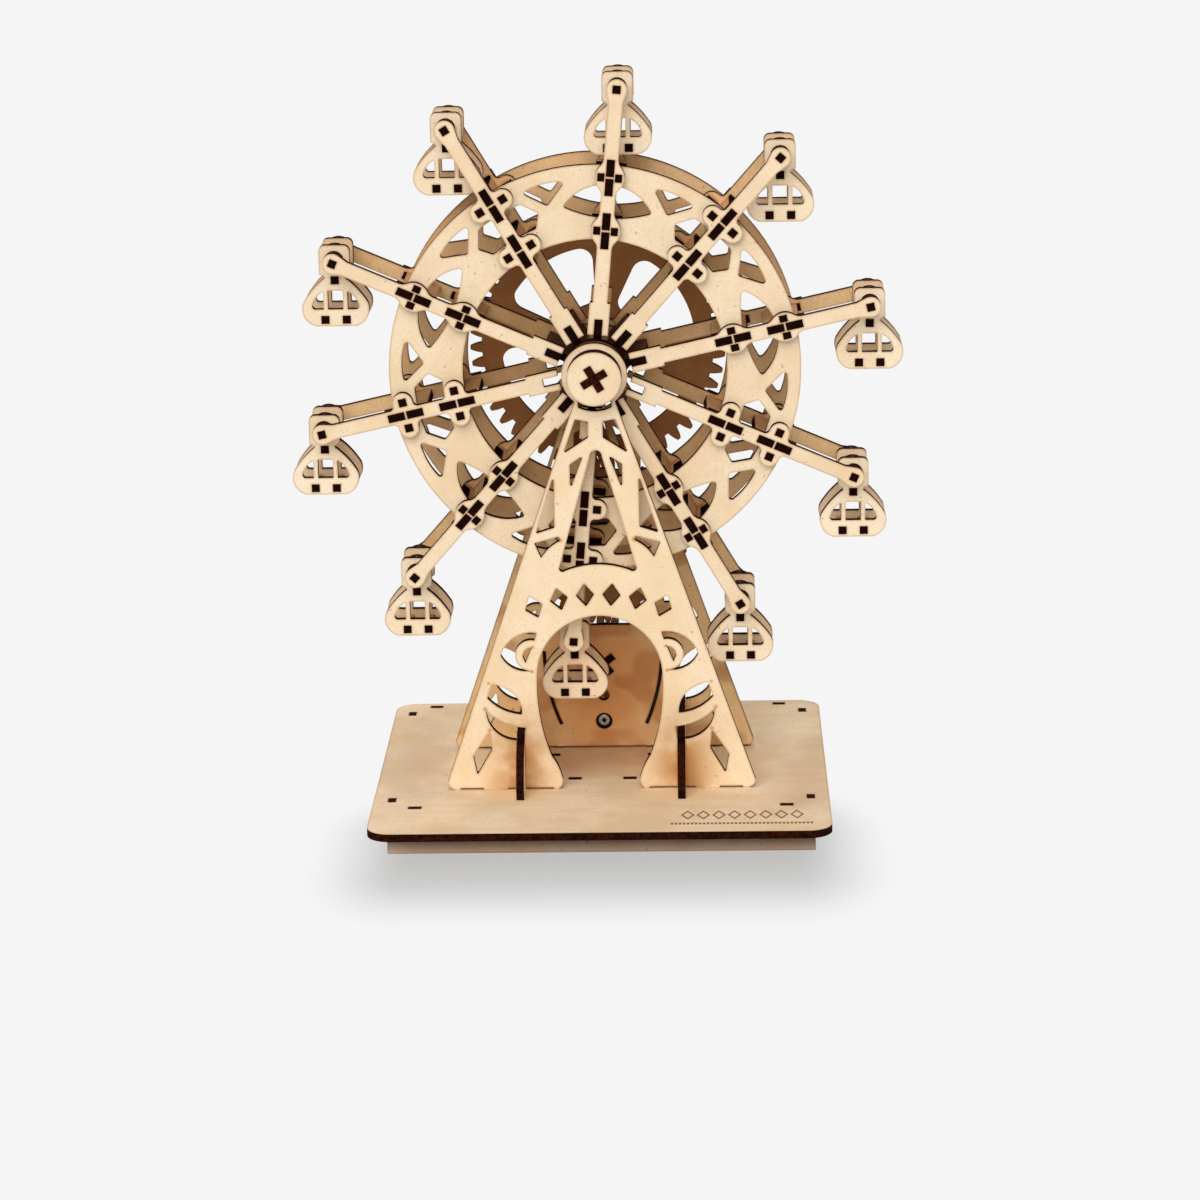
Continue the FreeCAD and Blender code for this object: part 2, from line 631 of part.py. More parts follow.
def rim(y):
    """Ring with a lens behind every even arm, a hexagon behind every odd one and
    a triangle between them. Behind an arm it reaches on round the joints' slots."""
    ring = disc(0, 0, RIM_OUTER_R, y).cut(disc(0, 0, RIM_INNER_R, y))
    half = ARM_WIDTH / 2
    reach = SPACER_LENGTH / 2 + RIM_WALL
    lugs = [box(-half, half, y, y + SHEET, RIM_OUTER_R - 1, OUTER_JOINT_R + reach),
            box(-half, half, y, y + SHEET, INNER_JOINT_R - reach, RIM_INNER_R + 1)]
    crown, top = OUTER_JOINT_R - 1.3, OUTER_JOINT_R - 4.9
    middle, bottom = OUTER_JOINT_R - 10.5, INNER_JOINT_R + 4.4
    lens = softened(solid([polar(-15.4, middle), (polar(0, top + 1.8), polar(15.4, middle)),
                           (polar(0, bottom - 0.1), polar(-15.4, middle))], y),
                    RIM_WINDOW_CORNER)
    hexagon = softened(solid([polar(-12.1, middle), polar(-7.6, top),
                              (polar(0, top), polar(7.6, top)),
                              polar(12.1, middle), polar(9.3, bottom),
                              (polar(0, bottom), polar(-9.3, bottom))], y), RIM_WINDOW_CORNER)
    triangle = softened(solid([polar(13.3, crown), (polar(20.0, crown + 0.8),
                                                    polar(26.7, crown)),
                               polar(20.3, middle + 1.6)], y), RIM_WINDOW_CORNER)
    cuts = []
    body = [ring]
    for i in range(ARM_COUNT):
        turn = ARM_TILT + i * ARM_STEP_ANGLE
        near = i % 2 == 0
        body += [turned(lug, turn) for lug in lugs]
        cuts += [turned(piece, turn) for piece in joint_holes(y, near)]
        if near:
            cuts += [turned(lens, turn), turned(triangle, turn)]
            cuts.append(turned(mirrored(triangle), turn))
        else:
            cuts.append(turned(hexagon, turn))
    return raised(cut(fused(body), cuts), HUB_Z)


def radial_spacer(joint_r):
    """Plate along the arm, tabbed through arm and rim at both ends of the wheel."""
    y0, y1 = FRONT_ARM_Y, REAR_RIM_Y + SHEET
    half = SPACER_LENGTH / 2
    inside_front, inside_rear = FRONT_RIM_Y + SHEET, REAR_ARM_Y
    body = box(-SHEET / 2, SHEET / 2, y0, y1, joint_r - half, joint_r + half)
    shoulder = box(-SHEET / 2, SHEET / 2, inside_front, inside_rear,
                   joint_r - half - SPACER_SHOULDER, joint_r)
    relief = box(-SHEET, SHEET, inside_front, inside_rear,
                 joint_r + half - SPACER_RELIEF, joint_r + half + 1)
    bridge = SPACER_BRIDGE / 2 + TAB_FIT
    gap_front = box(-SHEET, SHEET, y0 - 1, inside_front, joint_r - bridge, joint_r + bridge)
    lap = box(-SHEET, SHEET, WHEEL_MIDDLE_Y, y1 + 1, joint_r - SLOT / 2, joint_r + SLOT / 2)
    return cut(fused([body, shoulder]), [relief, gap_front, lap])


def cross_spacer(joint_r, near):
    """Plate across the arm, pegged through arm and rim and narrow between them; it
    laps the radial plate."""
    y0, y1 = FRONT_ARM_Y, REAR_RIM_Y + SHEET
    inside_front, inside_rear = FRONT_RIM_Y + SHEET, REAR_ARM_Y
    offset, width = peg_size(near)
    half = offset + width / 2 + PEG_SHOULDER
    body = box(-half, half, inside_front, inside_rear, joint_r - SHEET / 2, joint_r + SHEET / 2)
    pegs = [box(side * offset - width / 2, side * offset + width / 2, y0, y1,
                joint_r - PEG / 2, joint_r + PEG / 2) for side in (-1, 1)]
    waist = box(CROSS_WAIST, half + 1, inside_front + CROSS_END, inside_rear - CROSS_END,
                joint_r - SHEET, joint_r + SHEET)
    lap = box(-SLOT / 2, SLOT / 2, y0 - 1, WHEEL_MIDDLE_Y, joint_r - SHEET, joint_r + SHEET)
    return cut(fused([body] + pegs), both(waist) + [lap])


def radial_spacers():
    return around(radial_spacer(INNER_JOINT_R)) + around(radial_spacer(OUTER_JOINT_R))


def cross_spacers():
    pieces = []
    for joint_r in (INNER_JOINT_R, OUTER_JOINT_R):
        pieces += around(cross_spacer(joint_r, True), range(0, ARM_COUNT, 2))
        pieces += around(cross_spacer(joint_r, False), range(1, ARM_COUNT, 2))
    return pieces


def hub_disc(y):
    """Notched all round for the hub plates, with the axle's + hole."""
    notch = box(-SLOT / 2, SLOT / 2, y, y + SHEET, HUB_PLATE_IN_R, HUB_DISC_R + 1)
    notches = [turned(notch, ARM_TILT + i * ARM_STEP_ANGLE) for i in range(ARM_COUNT)]
    piece = cut(disc(0, 0, HUB_DISC_R, y), notches + [cross_hole(y, SHEET, AXLE_TILT)])
    return raised(piece, HUB_Z)


def hub_plates():
    """Plates between the two sets of arms; some forks have none."""
    notch_end = HUB_DISC_R + 0.5
    plate = fused([
        box(-SHEET / 2, SHEET / 2, FRONT_RIM_Y, REAR_RIM_Y + SHEET, HUB_PLATE_IN_R, notch_end),
        box(-SHEET / 2, SHEET / 2, FRONT_RIM_Y, REAR_ARM_Y, notch_end, FORK_R),
        box(-SHEET / 2, SHEET / 2, FRONT_ARM_Y, FRONT_RIM_Y, ARM_END_R, FORK_R),
        box(-SHEET / 2, SHEET / 2, REAR_ARM_Y, REAR_RIM_Y, ARM_END_R, FORK_R)])
    return around(plate, [i for i in range(ARM_COUNT) if i not in LOOSE_PLATES])


def axle_span():
    front = FRONT_TOWER_Y - RUN_FIT - 2 * SHEET
    rear = GEAR_Y + 2 * SHEET
    return front, rear - front


def axle_strips():
    front, length = axle_span()
    return [raised(strip, HUB_Z) for strip in crossed_strips(front, length, AXLE_TILT)]


def keyed_disc(y, radius, degrees, height):
    """Disc with a + hole that grips an axle."""
    piece = disc(0, 0, radius, y).cut(cross_hole(y, SHEET, degrees))
    return raised(piece, height)


def front_retaining_discs():
    """Pair that holds the wheel from the front."""
    front, _ = axle_span()
    return [keyed_disc(y, RETAINER_R, AXLE_TILT, HUB_Z) for y in (front, front + SHEET)]


def axle_spacer_discs():
    """Two in front of the wheel, as wide as the tower's ring, one behind the wheel
    and two in front of the gear."""
    wide = [keyed_disc(y, TOWER_RING_R - RING_REVEAL, AXLE_TILT, HUB_Z)
            for y in (FRONT_RIM_Y - 2 * SHEET, FRONT_RIM_Y - SHEET)]
    return wide + [keyed_disc(y, SPACER_DISC_R, AXLE_TILT, HUB_Z)
                   for y in (REAR_RIM_Y + SHEET, GEAR_Y - 2 * SHEET, GEAR_Y - SHEET)]


def gondola_pins():
    pin = square(0, PIN_R, SHEET, FRONT_ARM_Y, REAR_RIM_Y - FRONT_ARM_Y)
    return around(pin)


def gondola_y():
    """Front faces of a gondola's two panels."""
    front = WHEEL_MIDDLE_Y - (GONDOLA_SPACING + SHEET) / 2
    return front, front + GONDOLA_SPACING


def gondola_washers():
    """A washer behind each panel and a collar before the front one, all on the pin."""
    front, rear = gondola_y()
    pieces = []
    for radius, y0, y1 in ((WASHER_R, front + SHEET + RUN_FIT, front + 2 * SHEET + RUN_FIT),
                           (WASHER_R, rear + SHEET + RUN_FIT, rear + 2 * SHEET + RUN_FIT),
                           (COLLAR_R, FRONT_RIM_Y, front - RUN_FIT)):
        ring = disc(0, PIN_R, radius, y0, y1 - y0).cut(square(0, PIN_R, SLOT, y0, y1 - y0))
        pieces += around(ring)
    return pieces


# --- Gears ------------------------------------------------------------------

def involute(angle):
    return math.tan(angle) - angle


def gear_blank(teeth, y, first_tooth):
    """Spur gear; first_tooth is where one tooth points, clockwise from straight up."""
    pitch_r = MODULE * teeth / 2
    pressure = math.radians(PRESSURE_ANGLE)
    base_r = pitch_r * math.cos(pressure)
    tip_r, root_r = pitch_r + MODULE, pitch_r - 1.25 * MODULE
    start_r = max(base_r, root_r)
    half_pitch = (math.pi * MODULE / 2 - BACKLASH) / 2 / pitch_r + involute(pressure)

    def flank(radius):
        return half_pitch - involute(math.acos(min(1.0, base_r / radius)))
    middle_r = (start_r + tip_r) / 2
    steps = []
    for i in range(teeth):
        centre = 2 * math.pi * i / teeth

        def at(offset, radius):
            return polar(first_tooth + math.degrees(centre + offset), radius)
        root_half = flank(start_r)
        steps += [at(-root_half, root_r), at(-root_half, start_r),
                  (at(-flank(middle_r), middle_r), at(-flank(tip_r), tip_r)),
                  (at(0, tip_r), at(flank(tip_r), tip_r)),
                  (at(flank(middle_r), middle_r), at(root_half, start_r)),
                  at(root_half, root_r)]
    return solid(steps, y)


def gear_window():
    """Sector between two spokes, its corners rounded; its middle is straight up."""
    half = WINDOW_ANGLE / 2
    return softened(solid([polar(-half, WINDOW_INNER_R),
                           (polar(0, WINDOW_INNER_R), polar(half, WINDOW_INNER_R)),
                           polar(half, WINDOW_OUTER_R),
                           (polar(0, WINDOW_OUTER_R), polar(-half, WINDOW_OUTER_R))], GEAR_Y),
                    WINDOW_CORNER)


def drive_gear():
    """Wheel gear with four windows, keyed to the axle."""
    blank = gear_blank(WHEEL_TEETH, GEAR_Y, TOOTH_TILT)
    cuts = [turned(gear_window(), WINDOW_TILT + i * 360.0 / WINDOW_COUNT)
            for i in range(WINDOW_COUNT)]
    cuts.append(cross_hole(GEAR_Y, SHEET, AXLE_TILT))
    return raised(cut(blank, cuts), HUB_Z)


def idler_gear():
    tilt = -TOOTH_TILT * WHEEL_TEETH / IDLER_TEETH
    blank = gear_blank(IDLER_TEETH, GEAR_Y, 180.0 / IDLER_TEETH + tilt)
    holes = [disc(*polar(360.0 * i / IDLER_HOLES, IDLER_HOLE_PITCH_R), IDLER_HOLE_R, GEAR_Y)
             for i in range(IDLER_HOLES)]
    holes.append(disc(0, 0, AXLE_BORE_R, GEAR_Y))
    return raised(cut(blank, holes), BASE_TOP + IDLER_HEIGHT)


def fixed_axle(height, rear, degrees):
    """Crossed strips held in the rear tower's + hole."""
    strips = crossed_strips(REAR_TOWER_Y, rear - REAR_TOWER_Y, degrees)
    return [raised(strip, BASE_TOP + height) for strip in strips]


def idler_rear():
    return GEAR_Y + SHEET + RUN_FIT + SHEET


def stop_discs(height, degrees):
    """Two discs on a fixed axle between the tower and the gear."""
    front = REAR_TOWER_Y + SHEET
    return [keyed_disc(front + i * SHEET, SPACER_DISC_R, degrees, BASE_TOP + height)
            for i in range(2)]


# --- Crank ------------------------------------------------------------------

def crank_pegs_at(y, side, thickness=SHEET):
    return [disc(*polar(CRANK_ANGLE + turn, CRANK_PEG_R), side, y, thickness)
            for turn in (-90.0, 90.0)]


def crank_pinion():
    blank = gear_blank(CRANK_TEETH, GEAR_Y, TOOTH_TILT * WHEEL_TEETH / CRANK_TEETH)
    holes = [disc(0, 0, AXLE_BORE_R, GEAR_Y)] + crank_pegs_at(GEAR_Y, PEG / 2 + TAB_FIT)
    return raised(cut(blank, holes), BASE_TOP + CRANK_HEIGHT)


def crank_spacer_disc():
    y = GEAR_Y + SHEET
    holes = [disc(0, 0, AXLE_BORE_R, y)] + crank_pegs_at(y, PEG / 2 + TAB_FIT)
    return raised(cut(disc(0, 0, CRANK_SPACER_R, y), holes), BASE_TOP + CRANK_HEIGHT)


def crank_arm():
    y = GEAR_Y + 2 * SHEET
    half = CRANK_ARM_WIDTH / 2
    bar = turned(box(-half, half, y, y + SHEET, 0, CRANK_REACH), CRANK_ANGLE)
    end = polar(CRANK_ANGLE, CRANK_REACH)
    body = fused([disc(0, 0, CRANK_SPACER_R, y), bar, disc(*end, half, y)])
    holes = [disc(0, 0, AXLE_BORE_R, y), disc(*end, CRANK_PIN_R + TAB_FIT, y)]
    holes += crank_pegs_at(y, PEG / 2 + TAB_FIT)
    return raised(cut(body, holes), BASE_TOP + CRANK_HEIGHT)


def crank_pegs():
    return [raised(peg, BASE_TOP + CRANK_HEIGHT)
            for peg in crank_pegs_at(GEAR_Y, PEG / 2, 3 * SHEET)]


def knob_span():
    front = GEAR_Y + 3 * SHEET + RUN_FIT
    return front, front + KNOB_DISCS * SHEET


def crank_pin():
    """Headed pin through the arm that the knob turns on."""
    _, rear = knob_span()
    start = GEAR_Y + 2 * SHEET
    end = polar(CRANK_ANGLE, CRANK_REACH)
    shank = disc(*end, CRANK_PIN_R, start, rear + RUN_FIT - start)
    head = disc(*end, CRANK_PIN_HEAD_R, rear + RUN_FIT, CRANK_PIN_HEAD)
    return raised(fused([shank, head]), BASE_TOP + CRANK_HEIGHT)


def crank_knob():
    """Stack of glued discs, the end ones smaller."""
    front, _ = knob_span()
    end = polar(CRANK_ANGLE, CRANK_REACH)
    pieces = []
    for i in range(KNOB_DISCS):
        radius = KNOB_R - (KNOB_STEP if i in (0, KNOB_DISCS - 1) else 0.0)
        y = front + i * SHEET
        ring = disc(*end, radius, y).cut(disc(*end, CRANK_PIN_R + BORE_FIT, y))
        pieces.append(raised(ring, BASE_TOP + CRANK_HEIGHT))
    return pieces


# --- Gondolas ---------------------------------------------------------------

def gondola_panel(y):
    """Bell shaped panel below a square head, with a three light window; its pin is at 0."""
    right = [(3.45, 5.6), ((5.15, 4.9), (5.85, 3.2)), (5.85, -5.3), (3.9, -6.3), (3.9, -6.9),
             ((8.6, -11.3), (12.2, -16.2)), ((12.0, -21.9), (7.6, -25.4))]
    left = [(-7.6, -25.4), ((-12.0, -21.9), (-12.2, -16.2)), ((-8.6, -11.3), (-3.9, -6.9)),
            (-3.9, -6.3), (-5.85, -5.3), (-5.85, 3.2), ((-5.15, 4.9), (-3.45, 5.6))]
    light = [(4.6, -12.1), ((7.4, -14.4), (8.7, -17.0)), ((8.6, -18.5), (7.4, -18.9)),
             (4.6, -18.9)]
    middle = [(-2.9, -18.9), (2.9, -18.9), (2.9, -11.7), (-2.9, -11.7)]
    holes = both(solid(scaled(light, GONDOLA_SCALE), y))
    holes += [solid(scaled(middle, GONDOLA_SCALE), y), disc(0, 0, PIN_BORE_R, y)]
    holes += [square(x, z, SLOT, y) for x, z in gondola_bar_places()]
    return cut(solid(scaled(right + left, GONDOLA_SCALE), y), holes)


def gondola_bar_places():
    """Where the three bars cross the panels: at the neck and low at both sides."""
    return scaled([(0, -7.75), (-4.05, -22.9), (4.05, -22.9)], GONDOLA_SCALE)


def gondola_bars():
    front, _ = gondola_y()
    return [square(x, z, SHEET, front, GONDOLA_SPACING + SHEET) for x, z in gondola_bar_places()]


def hung(pieces, index):
    """Pieces moved to a gondola's pin; a gondola hangs upright wherever it is."""
    x, z = polar(ARM_TILT + index * ARM_STEP_ANGLE, PIN_R)
    return [piece.translated(Vector(x, 0, HUB_Z + z)) for piece in pieces]


# --- Assembly ---------------------------------------------------------------

def crank_axle_rear():
    return GEAR_Y + 4 * SHEET + RUN_FIT


def build():
    """Every node of the toy: its name and its solids."""
    front, rear = gondola_y()
    nodes = {
        "base_plate": [base_plate()],
        "base_skirt_front": [skirt_cross(SKIRT_FRONT_Y)],
        "base_skirt_rear": [skirt_cross(SKIRT_REAR_Y)],
        "base_skirt_sides": [skirt_side(-1), skirt_side(1)],
        "base_ribs": [base_rib(RIB_FRONT_Y, RIB_FRONT_TAB_X), base_rib(RIB_REAR_Y, RIB_REAR_TAB_X)],
        "front_tower": [front_tower()],
        "rear_tower": [rear_tower()],
        "tie_plate_left": [tie_plate(-1)],
        "tie_plate_right": [tie_plate(1)],
        "panel_stiffener": [panel_stiffener()],
        "stiffener_screw": [stiffener_screw()],
        "stiffener_nut": [stiffener_nut()],
        "idler_axle": fixed_axle(IDLER_HEIGHT, idler_rear(), 0.0),
        "idler_stop_discs": stop_discs(IDLER_HEIGHT, 0.0) + [
            keyed_disc(GEAR_Y + SHEET + RUN_FIT, SPACER_DISC_R, 0.0, BASE_TOP + IDLER_HEIGHT)],
        "crank_axle": fixed_axle(CRANK_HEIGHT, crank_axle_rear(), CRANK_AXLE_TILT),
        "crank_stop_discs": stop_discs(CRANK_HEIGHT, CRANK_AXLE_TILT) + [
            keyed_disc(GEAR_Y + 3 * SHEET + RUN_FIT, SPACER_DISC_R, CRANK_AXLE_TILT,
                       BASE_TOP + CRANK_HEIGHT)],
        "front_arms": arms(FRONT_ARM_Y),
        "rear_arms": arms(REAR_ARM_Y),
        "front_rim": [rim(FRONT_RIM_Y)],
        "rear_rim": [rim(REAR_RIM_Y)],
        "radial_spacers": radial_spacers(),
        "cross_spacers": cross_spacers(),
        "front_hub_disc": [hub_disc(FRONT_RIM_Y)],
        "rear_hub_disc": [hub_disc(REAR_RIM_Y)],
        "hub_plates": hub_plates(),
        "axle_strip_a": [axle_strips()[0]],
        "axle_strip_b": [axle_strips()[1]],
        "front_retaining_discs": front_retaining_discs(),
        "rear_retaining_disc": [keyed_disc(GEAR_Y + SHEET, RETAINER_R, AXLE_TILT, HUB_Z)],
        "axle_spacer_discs": axle_spacer_discs(),
        "drive_gear": [drive_gear()],
        "gondola_pins": gondola_pins(),
        "gondola_washers": gondola_washers(),
        "idler_gear": [idler_gear()],
        "crank_pinion": [crank_pinion()],
        "crank_spacer_disc": [crank_spacer_disc()],
        "crank_arm": [crank_arm()],
        "crank_pegs": crank_pegs(),
        "crank_pin": [crank_pin()],
        "crank_knob": crank_knob(),
    }
    panels = [gondola_panel(front), gondola_panel(rear)]
    bars = gondola_bars()
    for i in range(ARM_COUNT):
        nodes[f"gondola_{i + 1:02d}_panels"] = hung(panels, i)
        nodes[f"gondola_{i + 1:02d}_bars"] = hung(bars, i)
    return nodes


def main():
    os.makedirs("parts", exist_ok=True)
    for name, solids in build().items():
        shape = solids[0] if len(solids) == 1 else Part.makeCompound(solids)
        shape.exportStep(f"parts/{name}.step")


main()
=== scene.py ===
import math

import bpy
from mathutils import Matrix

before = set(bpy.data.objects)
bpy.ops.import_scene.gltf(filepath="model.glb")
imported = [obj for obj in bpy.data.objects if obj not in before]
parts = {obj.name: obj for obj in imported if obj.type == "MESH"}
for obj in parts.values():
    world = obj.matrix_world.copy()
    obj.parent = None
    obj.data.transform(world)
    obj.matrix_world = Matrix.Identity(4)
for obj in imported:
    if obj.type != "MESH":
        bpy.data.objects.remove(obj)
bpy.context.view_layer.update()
bpy.ops.object.select_all(action="DESELECT")
MM = 0.001


# Camera
# A long lens, a little above the hub, looks down on the toy from in front, a degree off to one
# side and rolled by a degree.
def radians(*degrees):
    """Angles in degrees to radians."""
    return [math.radians(angle) for angle in degrees]


bpy.ops.object.camera_add(location=(0.03827, -1.39286, 0.47157),
                          rotation=radians(74.4976, 1.0223, 1.2990))
camera = bpy.context.object
camera.name = "camera"
camera.data.lens = 111.17
camera.data.sensor_width = 36.0
camera.data.clip_start = 0.05
camera.data.clip_end = 30.0
bpy.context.scene.camera = camera
bpy.context.scene.view_settings.view_transform = "Standard"


# Base plate
# Birch plywood 3 mm thick, cut out by laser and slotted for every tab that stands in it.
# The veneer is silky, with long soft streaks from left to right; painted shade browns it under
# the wheel and greys it towards both sides. The edge is charred, and a row of lozenges over a
# row of dashes is burned in at a corner.
def mm(*lengths):
    """Lengths in millimetres to metres."""
    return tuple(length * MM for length in lengths)


def colour(hex_code):
    """sRGB hex to linear."""
    channels = [int(hex_code[i:i + 2], 16) / 255 for i in (1, 3, 5)]
    linear = [c / 12.92 if c <= 0.04045 else ((c + 0.055) / 1.055) ** 2.4 for c in channels]
    return (*linear, 1.0)


def add(tree, kind, inputs=None, out=0, **settings):
    """Adds a node and gives one of its outputs; an input is a value or a socket to link."""
    node = tree.nodes.new("ShaderNode" + kind)
    for key, value in settings.items():
        setattr(node, key, value)
    for key, value in (inputs or {}).items():
        if isinstance(value, bpy.types.NodeSocket):
            tree.links.new(value, node.inputs[key])
        else:
            node.inputs[key].default_value = value
    return node.outputs[out]


def maths(tree, operation, *values):
    """A sum, product or the like of numbers."""
    return add(tree, "Math", dict(enumerate(values)), operation=operation)


def vector(tree, operation, *values, out="Vector"):
    """A sum, product or the like of vectors; out is Value where it is a number."""
    return add(tree, "VectorMath", dict(enumerate(values)), out, operation=operation)


def ramp(tree, value, zero, one, soft=False):
    """0 where the value is at zero or beyond it, rising to 1 where it is at one."""
    return add(tree, "MapRange", {"Value": value, "From Min": zero, "From Max": one},
               interpolation_type="SMOOTHSTEP" if soft else "LINEAR")


def place_on(tree):
    """A point's place on the piece, in metres from the middle of the toy's footprint."""
    return tree.nodes["place"].outputs["Object"]


def coordinate(tree, axis):
    """A point's place along X, Y or Z."""
    return add(tree, "SeparateXYZ", {0: place_on(tree)}, axis)


def new_material(name):
    """Material with its output and the piece's own coordinates, and nothing else."""
    material = bpy.data.materials.new(name)
    material.use_nodes = True
    tree = material.node_tree
    for node in [n for n in tree.nodes if n.type != "OUTPUT_MATERIAL"]:
        tree.nodes.remove(node)
    add(tree, "TexCoord", name="place")
    return material, tree


def dress(material, names):
    """Gives the nodes the material."""
    for name in names:
        for slot in parts[name].material_slots:
            slot.material = material


def patches(tree, size, low, high, stretch=(1, 1, 1), detail=2.0, shift=0.0):
    """Cloudy patches about size across: 0 where the noise is under low, 1 over high."""
    place = add(tree, "Mapping", {"Vector": place_on(tree), "Location": (shift, shift, shift),
                                  "Scale": stretch})
    cloud = add(tree, "TexNoise", {"Vector": place, "Scale": 1 / size, "Detail": detail,
                                   "Roughness": 0.6})
    return ramp(tree, cloud, low, high, soft=True)


def tint(tree, under, hex_code, mask, strength):
    """The colour under, stained with another where the mask is 1."""
    amount = maths(tree, "MULTIPLY", mask, strength)
    return add(tree, "Mix", {0: amount, 6: under, 7: colour(hex_code)}, 2, data_type="RGBA")


FIBRE = 0.7 * MM


def sheet_face(tree, pale, deep, fleck, streaks=(1, 1, 1), tone=0.5):
    """Sanded face of a sheet. Real fibres are finer than these.

    streaks under 1 draw the grain out along that axis; fibreboard has none, and shows
    small dark flecks of bark instead.
    """
    clouds = patches(tree, 26 * MM, 0.36, 0.68)
    grain = patches(tree, 9 * MM, 0.44, 0.74, streaks, 5.0, 0.4)
    fibres = patches(tree, FIBRE, 0.44, 0.72)
    bark = patches(tree, 1.7 * MM, 0.70, 0.76, detail=1.0)
    barky = patches(tree, 11 * MM, 0.48, 0.58, detail=1.0, shift=0.7)
    face = tint(tree, colour(pale), deep, clouds, tone)
    face = tint(tree, face, deep, grain, tone * 0.8)
    face = tint(tree, face, deep, fibres, 0.6)
    return tint(tree, face, fleck, maths(tree, "MULTIPLY", bark, barky), 0.55)


HUB_Z = 181 * MM


def facing(tree, thin):
    """1 on the two faces of a sheet whose thickness runs along thin, 0 on its edges.

    thin is a direction, or "outward" from the wheel's axle, or "sideways" to that.
    """
    if thin in ("outward", "sideways"):
        from_hub = vector(tree, "SUBTRACT", place_on(tree), (0, 0, HUB_Z))
        if thin == "outward":
            thin = vector(tree, "MULTIPLY", from_hub, (1, 0, 1))
        else:
            thin = vector(tree, "CROSS_PRODUCT", from_hub, (0, 1, 0))
        thin = vector(tree, "NORMALIZE", thin)
    normal = tree.nodes["place"].outputs["Normal"]
    along = vector(tree, "DOT_PRODUCT", normal, thin, out="Value")
    return ramp(tree, maths(tree, "ABSOLUTE", along), 0.45, 0.55)


def cut_edges(tree, face, thin, char="#34140A"):
    """Chars the edges of the sheet and singes half a millimetre of its faces."""
    near_edge = add(tree, "AmbientOcclusion", {"Distance": 0.9 * MM}, "AO", inside=True,
                    only_local=True, samples=6)
    face = tint(tree, face, "#9C6230", ramp(tree, near_edge, 0.95, 0.45), 0.6)
    char = tint(tree, colour(char), "#120503", patches(tree, 1.4 * MM, 0.36, 0.66), 0.9)
    bare = facing(tree, thin)
    skin = add(tree, "Mix", {0: bare, 6: char, 7: face}, 2, data_type="RGBA")
    nap = patches(tree, FIBRE, 0.2, 0.8)
    bump = add(tree, "Bump", {"Height": nap, "Strength": 0.14, "Distance": 0.2 * MM})
    rough = maths(tree, "MULTIPLY_ADD", nap, 0.12, 0.7)
    gloss = add(tree, "MapRange", {"Value": bare, "To Min": 0.03, "To Max": 0.12})
    shader = add(tree, "BsdfPrincipled", {"Base Color": skin, "Roughness": rough, "IOR": 1.45,
                                          "Specular IOR Level": gloss, "Normal": bump})
    tree.links.new(shader, tree.nodes["Material Output"].inputs["Surface"])


def burned_row(tree, face, left, right, near, far, pitch, drawn):
    """Row of marks burned a hair deep, between two depths and two sides of the plate."""
    x = coordinate(tree, "X")
    cell = maths(tree, "DIVIDE", maths(tree, "SUBTRACT", x, left), pitch)
    aside = maths(tree, "SUBTRACT", maths(tree, "FRACT", cell), 0.5)
    aside = maths(tree, "ABSOLUTE", aside)
    rise = add(tree, "MapRange", {"Value": coordinate(tree, "Y"), "From Min": near,
                                  "From Max": far, "To Min": -1.0, "To Max": 1.0}, clamp=False)
    rise = maths(tree, "ABSOLUTE", rise)
    inside = maths(tree, "LESS_THAN", rise, 1.0)
    inside = maths(tree, "MULTIPLY", inside, maths(tree, "GREATER_THAN", x, left))
    inside = maths(tree, "MULTIPLY", inside, maths(tree, "LESS_THAN", x, right))
    if drawn == "lozenges":
        reach = maths(tree, "MULTIPLY_ADD", aside, 2.2, rise)
        line = maths(tree, "COMPARE", reach, 0.82, 0.17)
    else:
        line = maths(tree, "LESS_THAN", aside, 0.33)
    return tint(tree, face, "#74421C", maths(tree, "MULTIPLY", line, inside), 0.85)


def painted_shading_cloud(tree, face, middle, reach, hex_code, strength):
    """Painted shade or light in a soft cloud round a point, reaching so far along each axis."""
    place = add(tree, "Mapping", {"Vector": place_on(tree), "Location": middle, "Scale": reach},
                vector_type="TEXTURE")
    far = vector(tree, "LENGTH", place, out="Value")
    ragged = maths(tree, "MULTIPLY_ADD", patches(tree, 22 * MM, 0.2, 0.8), 0.5, far)
    return tint(tree, face, hex_code, ramp(tree, ragged, 1.3, 0.4, soft=True), strength)


base_ply, tree = new_material("birch_ply_base")
face = sheet_face(tree, "#F8DFBE", "#E4C398", "#9A7048", (0.12, 1.3, 1.0), 0.7)
# Painted shade: browner under the wheel between the towers, greyer towards both sides.
face = painted_shading_cloud(tree, face, mm(0, 6, 18), mm(52, 36, 30), "#BC8046", 0.55)
for middle in (mm(-78, 6, 18), mm(84, -14, 18)):
    face = painted_shading_cloud(tree, face, middle, mm(36, 80, 30), "#B8997C", 0.5)
face = burned_row(tree, face, *mm(30.3, 77.5, -68.9, -58.4, 5.9), "lozenges")
face = burned_row(tree, face, *mm(26.6, 80.7, -74.6, -72.4, 1.5), "dashes")
cut_edges(tree, face, (0, 0, 1))
dress(base_ply, ["base_plate"])
